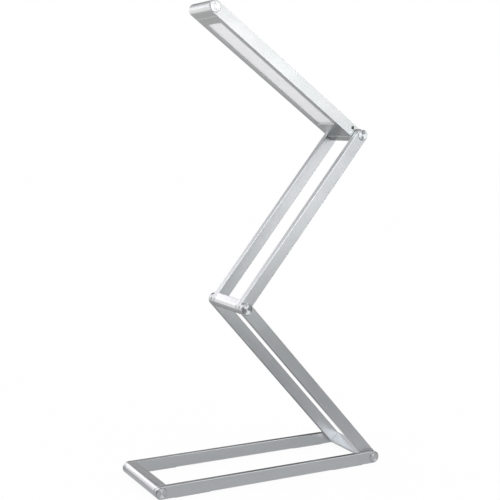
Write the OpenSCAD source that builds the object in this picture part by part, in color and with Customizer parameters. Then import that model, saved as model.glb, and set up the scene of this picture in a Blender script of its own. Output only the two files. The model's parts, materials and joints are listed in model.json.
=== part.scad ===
// Folding LED desk lamp: four nested frames of flat aluminium bar on three friction hinges.
// The lamp stands open in a Z. Folded, each frame lies flat inside the one before it.

/* [Base] */
// Distance from the nose axis to the base hinge axis
base_l = 238; // [225:1:260]
// Outer width of the base
base_w = 81; // [77:1:100]
// Height of the flat bars of the base and of both arms
bar_h = 12; // [11.8:0.1:13]
// Thickness of a base bar
base_bar_t = 5.2; // [4.8:0.1:6]
// Reach of the base cross bar inwards from the nose axis
base_cross_reach = 6.8; // [5.5:0.1:8]
// Bevel along the edges of the bars
bar_bevel = 0.4; // [0.2:0.05:0.45]

/* [Arms] */
// Thickness of a lower arm bar
lower_bar_t = 5.6; // [4.8:0.1:6.5]
// Reach of the lower cross bar from the base hinge axis
lower_cross_reach = 3.5; // [2.5:0.1:5]
// Thickness of an upper arm bar
upper_bar_t = 6.7; // [4.8:0.1:7]
// Reach of the upper cross bar from the middle hinge axis
upper_cross_reach = 5.4; // [3:0.1:6]
// Gap at each side between a frame and the one inside it
side_gap = 0.4; // [0.35:0.05:0.6]
// Gap between the lower arm's tips and the base cross bar, folded
lower_fold_gap = 3.7; // [1:0.1:6]
// Gap between the upper arm's tips and the lower cross bar, folded
upper_fold_gap = 2.0; // [0.8:0.1:4]
// Gap between the head's nose and the upper cross bar, folded
head_fold_gap = 1.2; // [0.6:0.1:4]

/* [Stance] */
// Angle that the base hinge is opened by
base_angle = 47.5; // [30:0.5:80]
// Angle that the middle hinge is opened by
mid_angle = 99.4; // [80:0.2:110]
// Angle that the top hinge is opened by
top_angle = 86.9; // [70:0.1:100]

/* [Head] */
// How far the head's faces lie inside the faces of the arm's bars
head_inset = 0.1; // [0:0.05:0.15]
// Bevel along the edges of the head
head_bevel = 0.35; // [0.2:0.05:0.4]
// Bevel along the seams between the end blocks and the tray
seam_bevel = 0.3; // [0.15:0.05:0.35]
// Reach of the nose block from the nose axis
nose_block_reach = 6.4; // [5.5:0.1:8]
// Reach of the hinge block from the top hinge axis
hinge_block_reach = 5.8; // [5:0.1:6]
// Distance from the head's sides to the light window
window_margin = 7.05; // [6:0.05:10]
// Bevel round the window
window_bevel = 0.5; // [0.3:0.05:0.6]
// Thickness of the head's floor round the window
floor_t = 1.5; // [1.2:0.1:1.6]
// Thickness of the side walls beside the cover
lip_t = 1.6; // [1.2:0.1:1.8]
// Thickness of the end walls beside the cover
end_lip_t = 0.6; // [0.5:0.1:0.8]
// Width of the ledge that the cover rests on
ledge_w = 1.0; // [0.8:0.1:1.2]
// Thickness of the top cover
cover_t = 1.2; // [1:0.1:1.3]

/* [Hinges] */
// Width of the bar's rim round a cap
cap_rim = 0.7; // [0.7:0.05:1]
// Depth of a cap's seat
cap_seat = 1.0; // [0.8:0.1:1.1]
// How far a cap stands proud of the bar
cap_proud = 0.3; // [0.1:0.05:0.5]
// Radius of the hinge pins where they turn
pin_r = 2.5; // [2.2:0.1:2.6]
// Radius of the pins' heads
pin_head_r = 4.0; // [3.8:0.1:4.2]
// Thickness of the pins' heads
pin_head_t = 1.2; // [1:0.1:1.3]
// Radius of the pins' and screws' threads
thread_r = 2.0; // [1.8:0.1:2]
// Depth of thread in a cross bar or block
thread_l = 8; // [6:0.5:10]
// Outer radius of the bushes
bush_r = 3.5; // [3.3:0.1:3.6]
// Height of the cone spring washers
spring_h = 0.5; // [0.45:0.05:0.5]
// Sheet thickness of the cone spring washers
spring_t = 0.3; // [0.2:0.05:0.35]
// Outer radius of the thrust washers
thrust_r = 4.8; // [4.2:0.1:5.2]
// Thickness of the thrust washers
thrust_t = 0.3; // [0.2:0.05:0.3]

/* [Fasteners and feet] */
// Radius of the nose screws' heads
screw_head_r = 3.5; // [3.2:0.1:3.8]
// Height of the nose screws' heads
screw_head_t = 1.8; // [1.5:0.1:2]
// Radius of the dowels
dowel_r = 0.8; // [0.6:0.05:0.9]
// Depth of a dowel in its bar
dowel_in_bar = 1.6; // [1.2:0.1:1.8]
// Depth of a dowel in its cross bar
dowel_in_cross = 3.4; // [2.5:0.1:5]
// Length of a foot pad
pad_l = 36; // [20:1:60]
// Width of a foot pad
pad_w = 3.2; // [2.4:0.1:3.6]
// Thickness of a foot pad
pad_t = 1.4; // [1.2:0.1:2]
// How far a foot pad stands proud
pad_proud = 0.6; // [0.4:0.1:0.8]
// Distance from a base axis to the nearer pad
pad_inset = 14; // [10:1:30]

/* [Light and power] */
// Thickness of the diffuser
diffuser_t = 1.5; // [1.2:0.1:1.6]
// Overlap of the diffuser on the floor round the window
diffuser_lap = 2.0; // [1.2:0.1:2]
// Height of the reflector frame
reflector_h = 2.0; // [1.6:0.1:2.1]
// Wall of the reflector frame
reflector_wall = 1.3; // [1:0.1:1.5]
// Thickness of the circuit boards
board_t = 1.0; // [0.8:0.1:1.1]
// Gap between the LED board and the nose end of the tray
led_board_gap = 2.1; // [1.4:0.1:20]
// Number of LEDs in a row
led_count = 15; // [6:1:18]
// Distance between the two rows of LEDs
led_row_gap = 12; // [8:1:16]
// Length, width and height of one LED
led_size = [3.5, 2.8, 0.8];
// Distance from the window's ends to the battery cells
cell_inset = 8.5; // [4:0.5:20]
// Distance from the LED board's edges to the battery cells
cell_margin = 0.8; // [0.4:0.1:4]
// Gap between the two battery cells
cell_gap = 2; // [1:0.5:6]
// Gap between the battery cells and the cover
cell_top_gap = 0.5; // [0.3:0.1:1]
// Length of the driver board
driver_l = 12.6; // [12:0.1:18]
// Gap between the driver board and the side walls
driver_side_gap = 0.7; // [0.3:0.1:1.5]
// Gap between the driver board and the LED board
driver_gap = 1.0; // [0.6:0.1:10]
// Length, width and height of the charging jack
jack_size = [4.8, 6.8, 4.8];
// Radius of the charging socket
jack_hole_r = 1.6; // [1.2:0.1:1.8]
// Depth of the charging socket in the jack
jack_hole_l = 5.2; // [4:0.1:5.5]
// Radius of the charging jack's centre contact
jack_pin_r = 0.5; // [0.3:0.05:0.7]
// Side of the square push switch
switch_side = 6; // [5:0.5:7]
// Radius of the power button
button_r = 2.6; // [2:0.1:3]
// How far the power button stands proud
button_proud = 0.5; // [0.3:0.05:0.6]
// Travel of the power button
button_travel = 0.5; // [0.3:0.05:0.5]
// Distance from the top hinge axis to the power button
button_inset = 15.5; // [15.2:0.1:16]

/* [Hidden] */
$fn = 96;
// Running and press clearance on a radius
fit_gap = 0.05;
// Clearance between flat pieces that drop into a seat
drop_gap = 0.1;
// Clearance round pieces that move through a hole
move_gap = 0.3;
// Overrun of cuts past a face
over = 1;
// Radius of the hex socket in a pin or screw head
socket_r = 1.6;
// Depth of that socket
socket_l = 0.7;
// Bevel on caps, screw and pin heads, the button and the charging hole
small_bevel = 0.25;
// Depth and pitch of the turned rings on a cap
ring_depth = 0.08;
ring_pitch = 0.9;
// Stem of a head nose cap
cap_stem_r = 1.5;
cap_stem_l = 4;
// Screws that join the end blocks to the housing
block_screw_r = 0.9;
block_screw_head_r = 1.4;
block_screw_head_t = 1.1;
block_screw_l = 3;
block_screw_share = 0.12;
// Screws of the boards, and the posts that they go into
board_screw_r = 0.7;
board_screw_head_r = 1.3;
board_screw_head_t = 0.8;
board_screw_l = 2.2;
post_r = 1.5;
driver_post_inset = 1.8;
driver_post_margin = 3;
// Gap between a post and the diffuser beside it
post_gap = 0.3;
// How far the LED board runs past its posts
led_board_end = 1.8;
// Gap between the cover and the charging jack
jack_top_gap = 0.3;
// Pieces soldered on the driver board
plug_l = 4;
plug_width_share = 0.2;
plug_over = 1.1;
plug_inset = 1;
chip_size = [4, 4, 1];
chip_inset = 3.3;
chip_gap = 0.4;
coil_r = 1.4;
coil_h = 2;
coil_inset = 5;
// Leads between the cells, the LED board and the driver board
lead_r = 0.55;
lead_count = 4;
led_lead_l = 9;
// Power button
button_flange = 0.8;
button_flange_t = 0.6;
button_stem_r = 1.2;
switch_well_r = 1.6;
switch_well_l = 1;
switch_play = 0.1;
switch_top_gap = 0.5;

bar_r = bar_h / 2;
head_r = bar_r - head_inset;
cap_r = bar_r - cap_rim;
axis_z = pad_proud + bar_r;
lower_l = base_l - bar_r - base_cross_reach - lower_fold_gap;
upper_l = lower_l - bar_r - lower_cross_reach - upper_fold_gap;
head_l = upper_l - head_r - upper_cross_reach - head_fold_gap;
base_in_w = base_w - 2 * base_bar_t;
lower_w = base_in_w - 2 * side_gap;
lower_in_w = lower_w - 2 * lower_bar_t;
upper_w = lower_in_w - 2 * side_gap;
upper_in_w = upper_w - 2 * upper_bar_t;
head_w = upper_in_w - 2 * side_gap;

// Slopes of the three links above the desk, and the hinge axes in X and Z
lower_slope = base_angle;
upper_slope = mid_angle - lower_slope;
head_slope = top_angle - upper_slope;
base_axis = [base_l / 2, axis_z];
mid_axis = base_axis + lower_l * [-cos(lower_slope), sin(lower_slope)];
top_axis = mid_axis + upper_l * [cos(upper_slope), sin(upper_slope)];
nose_axis = top_axis + head_l * [-cos(head_slope), sin(head_slope)];

// Stations along a pin, from the outer face of the bar that it turns in
pin_top = cap_seat + drop_gap;
pin_seat = pin_top + pin_head_t;
pin_floor = pin_seat + spring_h + 2 * fit_gap;
screw_seat = pin_top + screw_head_t;
dowel_x = -(bar_r + thread_r) / 2;

// Inside of the head, from its nose axis and its middle plane
house_x0 = nose_block_reach;
house_x1 = head_l - hinge_block_reach;
cave_x0 = house_x0 + end_lip_t + ledge_w;
cave_x1 = house_x1 - end_lip_t - ledge_w;
cave_w = head_w - 2 * (lip_t + ledge_w);
floor_z = floor_t - head_r;
cover_z = head_r - cover_t;
window_w = head_w - 2 * window_margin;
diffuser_z1 = floor_z + diffuser_t;
reflector_z1 = diffuser_z1 + reflector_h;
led_board_z1 = reflector_z1 + board_t;
led_board_w = window_w + 2 * diffuser_lap;
driver_w = cave_w - 2 * driver_side_gap;
driver_x1 = cave_x1 - drop_gap;
driver_x0 = driver_x1 - driver_l;
driver_top = cover_z - jack_top_gap - jack_size[2];
led_board_x0 = cave_x0 + led_board_gap;
led_board_x1 = driver_x0 - driver_gap;
led_post_x = [led_board_x0 + led_board_end, led_board_x1 - led_board_end];
window_x0 = led_post_x[0] + post_r + post_gap + diffuser_lap;
window_x1 = led_post_x[1] - post_r - post_gap - diffuser_lap;
driver_post_y = driver_w / 2 - driver_post_margin;
driver_posts = [
    [driver_x0 + driver_post_inset, -driver_post_y],
    [driver_x1 - driver_post_inset, driver_post_y]
];
jack_x = cave_x1 - drop_gap - jack_size[0] / 2;
jack_z = driver_top + jack_size[2] / 2;
block_screw_y = block_screw_share * head_w;
block_screw_z = (driver_top + cover_z) / 2;
button_x = head_l - button_inset;
flange_top = cover_z - drop_gap;
flange_bottom = flange_top - button_flange_t;
switch_z1 = flange_bottom - button_travel - switch_top_gap;
lead_z = led_board_z1 + drop_gap + lead_r;
plug_x = driver_x0 + plug_inset;
plug_y = switch_side / 2 + plug_inset;
plug_w = plug_width_share * driver_w;
lead_pitch = plug_w / lead_count;
cells_x0 = window_x0 + cell_inset;
cells_x1 = window_x1 - cell_inset;
cell_l = (cells_x1 - cells_x0 - cell_gap) / 2;
cell_w = led_board_w - 2 * cell_margin;
cell_r = (cover_z - cell_top_gap - led_board_z1) / 2;
led_pitch = (window_x1 - window_x0) / led_count;

// Finishes
satin = [0.72, 0.73, 0.74];
bright = [0.85, 0.86, 0.87];
steel = [0.55, 0.56, 0.58];
nylon = [0.93, 0.93, 0.9];
bronze = [0.7, 0.52, 0.3];

// Frames of the four links

module base_place() {
    translate([-base_l / 2, 0, axis_z])
        children();
}

module lower_place() {
    translate([base_axis[0], 0, base_axis[1]])
        rotate([0, 180 + lower_slope, 0])
            children();
}

module upper_place() {
    translate([mid_axis[0], 0, mid_axis[1]])
        rotate([0, -upper_slope, 0])
            children();
}

module head_place() {
    translate([nose_axis[0], 0, nose_axis[1]])
        rotate([0, head_slope, 0])
            children();
}

// One piece at each side: children start at an outer face and run inwards along +Y

module front_side(width, x = 0) {
    translate([x, -width / 2, 0])
        children();
}

module rear_side(width, x = 0) {
    mirror([0, 1, 0])
        front_side(width, x)
            children();
}

module both_sides(width, x = 0) {
    front_side(width, x)
        children();
    rear_side(width, x)
        children();
}

// Shapes

// Rod along +Y between two stations
module rod(radius, from, to) {
    translate([0, from, 0])
        rotate([-90, 0, 0])
            cylinder(r = radius, h = to - from);
}

// Turned piece along +Y from a list of radius and station
module turned(profile) {
    rotate([-90, 0, 0])
        rotate_extrude()
            polygon(profile);
}

// Flat bar of one thickness along +X, bevelled, with a round end at each place in ends
module flat_bar(length, thick, radius, bevel, ends) {
    for (x = ends)
        translate([x, 0, 0])
            turned([
                [0, 0],
                [radius - bevel, 0],
                [radius, bevel],
                [radius, thick - bevel],
                [radius - bevel, thick],
                [0, thick]
            ]);
    rotate([90, 0, 90])
        linear_extrude(height = length)
            polygon([
                [bevel, -radius],
                [thick - bevel, -radius],
                [thick, bevel - radius],
                [thick, radius - bevel],
                [thick - bevel, radius],
                [bevel, radius],
                [0, radius - bevel],
                [0, bevel - radius]
            ]);
}

// Box from one corner to the other
module block(low, high) {
    translate(low)
        cube(high - low);
}

// Cut of all that lies past the flat end of a cross bar, block or tray, with a bevel at both edges
module far_side_cut(reach, width, radius, bevel) {
    translate([0, width / 2 + over, 0])
        rotate([90, 0, 0])
            linear_extrude(height = width + 2 * over)
                polygon([
                    [reach, radius - bevel],
                    [reach - bevel - over, radius + over],
                    [reach + radius, radius + over],
                    [reach + radius, -radius - over],
                    [reach - bevel - over, -radius - over],
                    [reach, bevel - radius]
                ]);
}

// Cross bar: half round on its hinge or nose axis and flat towards the opening
module cross_bar(width, reach) {
    difference() {
        translate([0, -width / 2, 0])
            flat_bar(reach, width, bar_r, bar_bevel, [0]);
        far_side_cut(reach, width, bar_r, bar_bevel);
        both_sides(width)
            rod(thread_r + fit_gap, -over, thread_l + drop_gap);
        both_sides(width, dowel_x)
            rod(dowel_r + fit_gap, -over, dowel_in_cross + drop_gap);
    }
}

// Cuts at the end of a bar that a hinge pin turns in
module hinge_end_cuts(thick) {
    rod(cap_r + fit_gap, -over, cap_seat);
    rod(pin_head_r + move_gap, 0, pin_floor);
    rod(bush_r + fit_gap, 0, thick + over);
}

// Cuts at the end of a bar that is fixed to its cross bar by a pin's thread
module root_end_cuts(thick) {
    rod(thread_r + fit_gap, -over, thick + over);
    translate([dowel_x, 0, 0])
        rod(dowel_r + fit_gap, thick - dowel_in_bar - drop_gap, thick + over);
}

// Cuts at the nose of a base bar, where a capped screw holds the cross bar
module nose_end_cuts(thick) {
    rod(cap_r + fit_gap, -over, cap_seat);
    rod(screw_head_r + fit_gap, 0, screw_seat);
    root_end_cuts(thick);
}

// Cap with a turned face and a bevelled rim
module cap() {
    rings = floor((cap_r - small_bevel) / ring_pitch) - 1;
    difference() {
        turned([
            [0, -cap_proud],
            [cap_r - small_bevel, -cap_proud],
            [cap_r, small_bevel - cap_proud],
            [cap_r, cap_seat],
            [0, cap_seat]
        ]);
        for (i = [1:rings])
            turned([
                [i * ring_pitch, -cap_proud - over],
                [(i + 0.25) * ring_pitch, -cap_proud - over],
                [(i + 0.25) * ring_pitch, ring_depth - cap_proud],
                [i * ring_pitch, ring_depth - cap_proud]
            ]);
    }
}

// Hex socket cut in a head whose top is at a station
module socket_cut(top) {
    translate([0, top - over, 0])
        rotate([-90, 0, 0])
            cylinder(r = socket_r, h = socket_l + over, $fn = 6);
}

// Shouldered hinge pin: head, bearing length through the outer bar, then thread
module hinge_pin(thick, inner_t) {
    shoulder = thick + side_gap;
    tip = shoulder + inner_t + thread_l;
    difference() {
        turned([
            [0, pin_top],
            [pin_head_r - small_bevel, pin_top],
            [pin_head_r, pin_top + small_bevel],
            [pin_head_r, pin_seat],
            [pin_r, pin_seat],
            [pin_r, shoulder],
            [thread_r, shoulder],
            [thread_r, tip - small_bevel],
            [thread_r - small_bevel, tip],
            [0, tip]
        ]);
        socket_cut(pin_top);
    }
}

// Plain bush that lines the bore of the outer bar
module bush(thick) {
    difference() {
        rod(bush_r, pin_floor, thick);
        rod(pin_r + fit_gap, pin_floor - over, thick + over);
    }
}

// Cone spring washer under a pin's head
module spring_washer() {
    top = pin_seat + fit_gap;
    cone = spring_h - spring_t;
    inner = pin_r + 4 * fit_gap;
    turned([
        [inner, top],
        [pin_head_r, top + cone],
        [pin_head_r, top + spring_h],
        [inner, top + spring_t]
    ]);
}

// Thrust washer in the gap between two frames
module thrust_washer(thick) {
    difference() {
        rod(thrust_r, thick, thick + thrust_t);
        rod(pin_r + 2 * fit_gap, thick - over, thick + thrust_t + over);
    }
}

// Dowel between a bar and its cross bar
module dowel(thick) {
    rod(dowel_r, thick - dowel_in_bar, thick + dowel_in_cross);
}

// Base

module base_bar() {
    difference() {
        flat_bar(base_l, base_bar_t, bar_r, bar_bevel, [0, base_l]);
        nose_end_cuts(base_bar_t);
        translate([base_l, 0, 0])
            hinge_end_cuts(base_bar_t);
        for (x = [pad_inset, base_l - pad_inset - pad_l])
            block(
                [x - drop_gap, (base_bar_t - pad_w) / 2 - drop_gap, -bar_r - over],
                [x + pad_l + drop_gap, (base_bar_t + pad_w) / 2 + drop_gap, pad_t - pad_proud - bar_r]
            );
    }
}

module base_front_bar() {
    color(satin)
        base_place()
            front_side(base_w)
                base_bar();
}

module base_rear_bar() {
    color(satin)
        base_place()
            rear_side(base_w)
                base_bar();
}

module base_cross_bar() {
    color(bright)
        base_place()
            cross_bar(base_in_w, base_cross_reach);
}

module base_nose_screws() {
    color(steel)
        base_place()
            both_sides(base_w)
                difference() {
                    turned([
                        [0, pin_top],
                        [screw_head_r - small_bevel, pin_top],
                        [screw_head_r, pin_top + small_bevel],
                        [screw_head_r, screw_seat],
                        [thread_r, screw_seat],
                        [thread_r, base_bar_t + thread_l],
                        [0, base_bar_t + thread_l]
                    ]);
                    socket_cut(pin_top);
                }
}

module base_frame_dowels() {
    color(steel)
        base_place()
            both_sides(base_w, dowel_x)
                dowel(base_bar_t);
}

module base_nose_caps() {
    color(bright)
        base_place()
            both_sides(base_w)
                cap();
}

module base_foot_pads() {
    color("dimgray")
        base_place()
            both_sides(base_w)
                for (x = [pad_inset, base_l - pad_inset - pad_l])
                    block(
                        [x, (base_bar_t - pad_w) / 2, -bar_r - pad_proud],
                        [x + pad_l, (base_bar_t + pad_w) / 2, pad_t - pad_proud - bar_r]
                    );
}

module base_hinge_bushes() {
    color(bronze)
        base_place()
            both_sides(base_w, base_l)
                bush(base_bar_t);
}

module base_hinge_spring_washers() {
    color(steel)
        base_place()
            both_sides(base_w, base_l)
                spring_washer();
}

module base_hinge_thrust_washers() {
    color(nylon)
        base_place()
            both_sides(base_w, base_l)
                thrust_washer(base_bar_t);
}

module base_hinge_caps() {
    color(bright)
        base_place()
            both_sides(base_w, base_l)
                cap();
}

// Lower arm

module arm_bar(length, thick) {
    difference() {
        flat_bar(length, thick, bar_r, bar_bevel, [0, length]);
        root_end_cuts(thick);
        translate([length, 0, 0])
            hinge_end_cuts(thick);
    }
}

module lower_front_bar() {
    color(satin)
        lower_place()
            front_side(lower_w)
                arm_bar(lower_l, lower_bar_t);
}

module lower_rear_bar() {
    color(satin)
        lower_place()
            rear_side(lower_w)
                arm_bar(lower_l, lower_bar_t);
}

module lower_cross_bar() {
    color(bright)
        lower_place()
            cross_bar(lower_in_w, lower_cross_reach);
}

module lower_frame_dowels() {
    color(steel)
        lower_place()
            both_sides(lower_w, dowel_x)
                dowel(lower_bar_t);
}

module base_hinge_pins() {
    color(steel)
        lower_place()
            both_sides(base_w)
                hinge_pin(base_bar_t, lower_bar_t);
}

module mid_hinge_bushes() {
    color(bronze)
        lower_place()
            both_sides(lower_w, lower_l)
                bush(lower_bar_t);
}

module mid_hinge_spring_washers() {
    color(steel)
        lower_place()
            both_sides(lower_w, lower_l)
                spring_washer();
}

module mid_hinge_thrust_washers() {
    color(nylon)
        lower_place()
            both_sides(lower_w, lower_l)
                thrust_washer(lower_bar_t);
}

module mid_hinge_caps() {
    color(bright)
        lower_place()
            both_sides(lower_w, lower_l)
                cap();
}

// Upper arm

module upper_front_bar() {
    color(satin)
        upper_place()
            front_side(upper_w)
                arm_bar(upper_l, upper_bar_t);
}

module upper_rear_bar() {
    color(satin)
        upper_place()
            rear_side(upper_w)
                arm_bar(upper_l, upper_bar_t);
}

module upper_cross_bar() {
    color(bright)
        upper_place()
            cross_bar(upper_in_w, upper_cross_reach);
}

module upper_frame_dowels() {
    color(steel)
        upper_place()
            both_sides(upper_w, dowel_x)
                dowel(upper_bar_t);
}

module mid_hinge_pins() {
    color(steel)
        upper_place()
            both_sides(lower_w)
                hinge_pin(lower_bar_t, upper_bar_t);
}

module top_hinge_bushes() {
    color(bronze)
        upper_place()
            both_sides(upper_w, upper_l)
                bush(upper_bar_t);
}

module top_hinge_spring_washers() {
    color(steel)
        upper_place()
            both_sides(upper_w, upper_l)
                spring_washer();
}

module top_hinge_thrust_washers() {
    color(nylon)
        upper_place()
            both_sides(upper_w, upper_l)
                thrust_washer(upper_bar_t);
}

module top_hinge_caps() {
    color(bright)
        upper_place()
            both_sides(upper_w, upper_l)
                cap();
}

// Head shell

// Tray with side walls, a ledge for the cover, posts for the boards and the light window
module head_housing() {
    color(bright)
        head_place()
            difference() {
                union() {
                    difference() {
                        translate([house_x0, -head_w / 2, 0])
                            flat_bar(house_x1 - house_x0, head_w, head_r, head_bevel, []);
                        block(
                            [cave_x0, -cave_w / 2, floor_z],
                            [cave_x1, cave_w / 2, head_r + over]
                        );
                        block(
                            [cave_x0 - ledge_w, -cave_w / 2 - ledge_w, cover_z],
                            [cave_x1 + ledge_w, cave_w / 2 + ledge_w, head_r + over]
                        );
                        window_cut();
                    }
                    for (x = led_post_x)
                        post(x, 0, reflector_z1);
                    for (p = driver_posts)
                        post(p[0], p[1], driver_top - board_t);
                }
                for (x = led_post_x)
                    post_hole(x, 0, reflector_z1);
                for (p = driver_posts)
                    post_hole(p[0], p[1], driver_top - board_t);
                for (x = [house_x0, house_x1])
                    for (y = [-block_screw_y, block_screw_y])
                        translate([x, y, block_screw_z])
                            rotate([0, 90, 0])
                                cylinder(
                                    r = block_screw_r + fit_gap,
                                    h = 2 * (end_lip_t + ledge_w + over),
                                    center = true
                                );
                translate([jack_x, -head_w / 2, jack_z]) {
                    rod(jack_hole_r, -over, lip_t + ledge_w + over);
                    turned([
                        [0, -over],
                        [jack_hole_r + small_bevel + over, -over],
                        [jack_hole_r, small_bevel],
                        [0, small_bevel]
                    ]);
                }
                translate([house_x0, 0, 0])
                    mirror([1, 0, 0])
                        far_side_cut(0, head_w, head_r, seam_bevel);
                translate([house_x1, 0, 0])
                    far_side_cut(0, head_w, head_r, seam_bevel);
            }
}

// Window through the floor, with a mitred bevel at its outer rim
module window_cut() {
    block([window_x0, -window_w / 2, -head_r - over], [window_x1, window_w / 2, floor_z + over]);
    intersection() {
        translate([window_x0 - window_bevel - 2 * over, 0, -head_r])
            rotate([90, 0, 90])
                linear_extrude(height = window_x1 - window_x0 + 2 * window_bevel + 4 * over)
                    bevel_profile(-window_w / 2, window_w / 2);
        translate([0, window_w / 2 + window_bevel + 2 * over, -head_r])
            rotate([90, 0, 0])
                linear_extrude(height = window_w + 2 * window_bevel + 4 * over)
                    bevel_profile(window_x0, window_x1);
    }
}

// Section of the window's bevel between two edges, with its rim at height zero
module bevel_profile(from, to) {
    polygon([
        [from - window_bevel - over, -over],
        [to + window_bevel + over, -over],
        [to, window_bevel],
        [from, window_bevel]
    ]);
}

module post(x, y, top) {
    translate([x, y, floor_z - floor_t / 2])
        cylinder(r = post_r, h = top - floor_z + floor_t / 2);
}

module post_hole(x, y, top) {
    translate([x, y, top - board_screw_l - drop_gap])
        cylinder(r = board_screw_r + fit_gap, h = board_screw_l + drop_gap + over);
}

module head_top_cover() {
    color(satin)
        head_place()
            difference() {
                block(
                    [
                        cave_x0 - ledge_w + drop_gap,
                        drop_gap - cave_w / 2 - ledge_w,
                        cover_z
                    ],
                    [
                        cave_x1 + ledge_w - drop_gap,
                        cave_w / 2 + ledge_w - drop_gap,
                        head_r
                    ]
                );
                translate([button_x, 0, cover_z - over])
                    cylinder(r = button_r + move_gap, h = cover_t + 2 * over);
            }
}

// Half round end block with tapped holes for the housing's screws
module end_block(reach, flip) {
    mirror([flip, 0, 0])
        difference() {
            translate([0, -head_w / 2, 0])
                flat_bar(reach, head_w, head_r, head_bevel, [0]);
            far_side_cut(reach, head_w, head_r, seam_bevel);
            for (y = [-block_screw_y, block_screw_y])
                translate([reach - block_screw_l - drop_gap, y, block_screw_z])
                    rotate([0, 90, 0])
                        cylinder(r = block_screw_r + fit_gap, h = block_screw_l + drop_gap + over);
        }
}

module head_nose_block() {
    color(bright)
        head_place()
            difference() {
                end_block(nose_block_reach, 0);
                both_sides(head_w)
                    rod(cap_r + fit_gap, -over, cap_seat);
                both_sides(head_w)
                    rod(cap_stem_r + fit_gap, 0, cap_seat + cap_stem_l + drop_gap);
            }
}

module head_hinge_block() {
    color(bright)
        head_place()
            translate([head_l, 0, 0])
                difference() {
                    end_block(hinge_block_reach, 1);
                    both_sides(head_w)
                        rod(thread_r + fit_gap, -over, thread_l + drop_gap);
                }
}

module head_nose_caps() {
    color(bright)
        head_place()
            both_sides(head_w)
                union() {
                    cap();
                    rod(cap_stem_r, 0, cap_seat + cap_stem_l);
                }
}

module head_block_screws() {
    color(steel)
        head_place()
            for (side = [0, 1])
                translate([side * head_l, 0, block_screw_z])
                    mirror([side, 0, 0])
                        block_screw_pair(side == 0 ? nose_block_reach : hinge_block_reach);
}

module block_screw_pair(reach) {
    seat = reach + end_lip_t + ledge_w;
    for (y = [-block_screw_y, block_screw_y])
        translate([0, y, 0])
            rotate([0, 90, 0])
                rotate_extrude()
                    polygon([
                        [0, reach - block_screw_l],
                        [block_screw_r, reach - block_screw_l],
                        [block_screw_r, seat],
                        [block_screw_head_r, seat],
                        [block_screw_head_r, seat + block_screw_head_t],
                        [0, seat + block_screw_head_t]
                    ]);
}

module top_hinge_pins() {
    color(steel)
        head_place()
            both_sides(upper_w, head_l)
                hinge_pin(upper_bar_t, 0);
}

// Light

module diffuser() {
    color([0.97, 0.97, 0.95])
        head_place()
            block(
                [window_x0 - diffuser_lap, -window_w / 2 - diffuser_lap, floor_z],
                [window_x1 + diffuser_lap, window_w / 2 + diffuser_lap, diffuser_z1]
            );
}

module reflector_frame() {
    rim = diffuser_lap - reflector_wall;
    color([0.96, 0.96, 0.96])
        head_place()
            difference() {
                block(
                    [window_x0 - diffuser_lap, -window_w / 2 - diffuser_lap, diffuser_z1],
                    [window_x1 + diffuser_lap, window_w / 2 + diffuser_lap, reflector_z1]
                );
                block(
                    [window_x0 - rim, -window_w / 2 - rim, diffuser_z1 - over],
                    [window_x1 + rim, window_w / 2 + rim, reflector_z1 + over]
                );
            }
}

module led_board() {
    color([0.9, 0.92, 0.9])
        head_place()
            difference() {
                block(
                    [led_board_x0, -led_board_w / 2, reflector_z1],
                    [led_board_x1, led_board_w / 2, led_board_z1]
                );
                for (x = led_post_x)
                    translate([x, 0, reflector_z1 - over])
                        cylinder(r = board_screw_r + fit_gap, h = board_t + 2 * over);
            }
}

module led_chips() {
    color([1, 0.95, 0.6])
        head_place()
            for (i = [0:led_count - 1])
                for (y = [-led_row_gap / 2, led_row_gap / 2])
                    translate([window_x0 + (i + 0.5) * led_pitch, y, reflector_z1 - led_size[2] / 2])
                        cube(led_size, center = true);
}

// Screw whose head rests on a board's upper face
module board_screw(x, y, seat) {
    translate([x, y, seat])
        rotate_extrude()
            polygon([
                [0, -board_screw_l - board_t],
                [board_screw_r, -board_screw_l - board_t],
                [board_screw_r, 0],
                [board_screw_head_r, 0],
                [board_screw_head_r, board_screw_head_t],
                [0, board_screw_head_t]
            ]);
}

module led_board_screws() {
    color(steel)
        head_place()
            for (x = led_post_x)
                board_screw(x, 0, led_board_z1);
}

// Power

module battery_cells() {
    color([0.75, 0.77, 0.8])
        head_place()
            for (i = [0, 1])
                translate([cells_x0 + i * (cell_l + cell_gap), -cell_w / 2, led_board_z1 + cell_r])
                    flat_bar(cell_l, cell_w, cell_r, small_bevel, []);
}

module driver_board() {
    chip_y = -switch_side / 2 - chip_gap - chip_size[1];
    coil_y = driver_w / 2 - coil_r - drop_gap;
    color("seagreen")
        head_place()
            difference() {
                union() {
                    block(
                        [driver_x0, -driver_w / 2, driver_top - board_t],
                        [driver_x1, driver_w / 2, driver_top]
                    );
                    block(
                        [plug_x, plug_y, driver_top - board_t / 2],
                        [plug_x + plug_l, plug_y + plug_w, lead_z + lead_r + plug_over]
                    );
                    translate([driver_x0 + chip_inset, chip_y, driver_top - board_t / 2])
                        cube(chip_size + [0, 0, board_t / 2]);
                    translate([driver_x1 - coil_inset, coil_y, driver_top - board_t / 2])
                        cylinder(r = coil_r, h = coil_h + board_t / 2);
                }
                for (p = driver_posts)
                    translate([p[0], p[1], driver_top - board_t - over])
                        cylinder(r = board_screw_r + fit_gap, h = board_t + 2 * over);
            }
}

module driver_board_screws() {
    color(steel)
        head_place()
            for (p = driver_posts)
                board_screw(p[0], p[1], driver_top);
}

module charging_jack() {
    color("black")
        head_place()
            translate([jack_x, -cave_w / 2, jack_z])
                union() {
                    difference() {
                        block(
                            [-jack_size[0] / 2, 0, -jack_size[2] / 2],
                            [jack_size[0] / 2, jack_size[1], jack_size[2] / 2]
                        );
                        rod(jack_hole_r, -over, jack_hole_l);
                    }
                    rod(jack_pin_r, jack_hole_r, jack_hole_l + over);
                }
}

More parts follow.
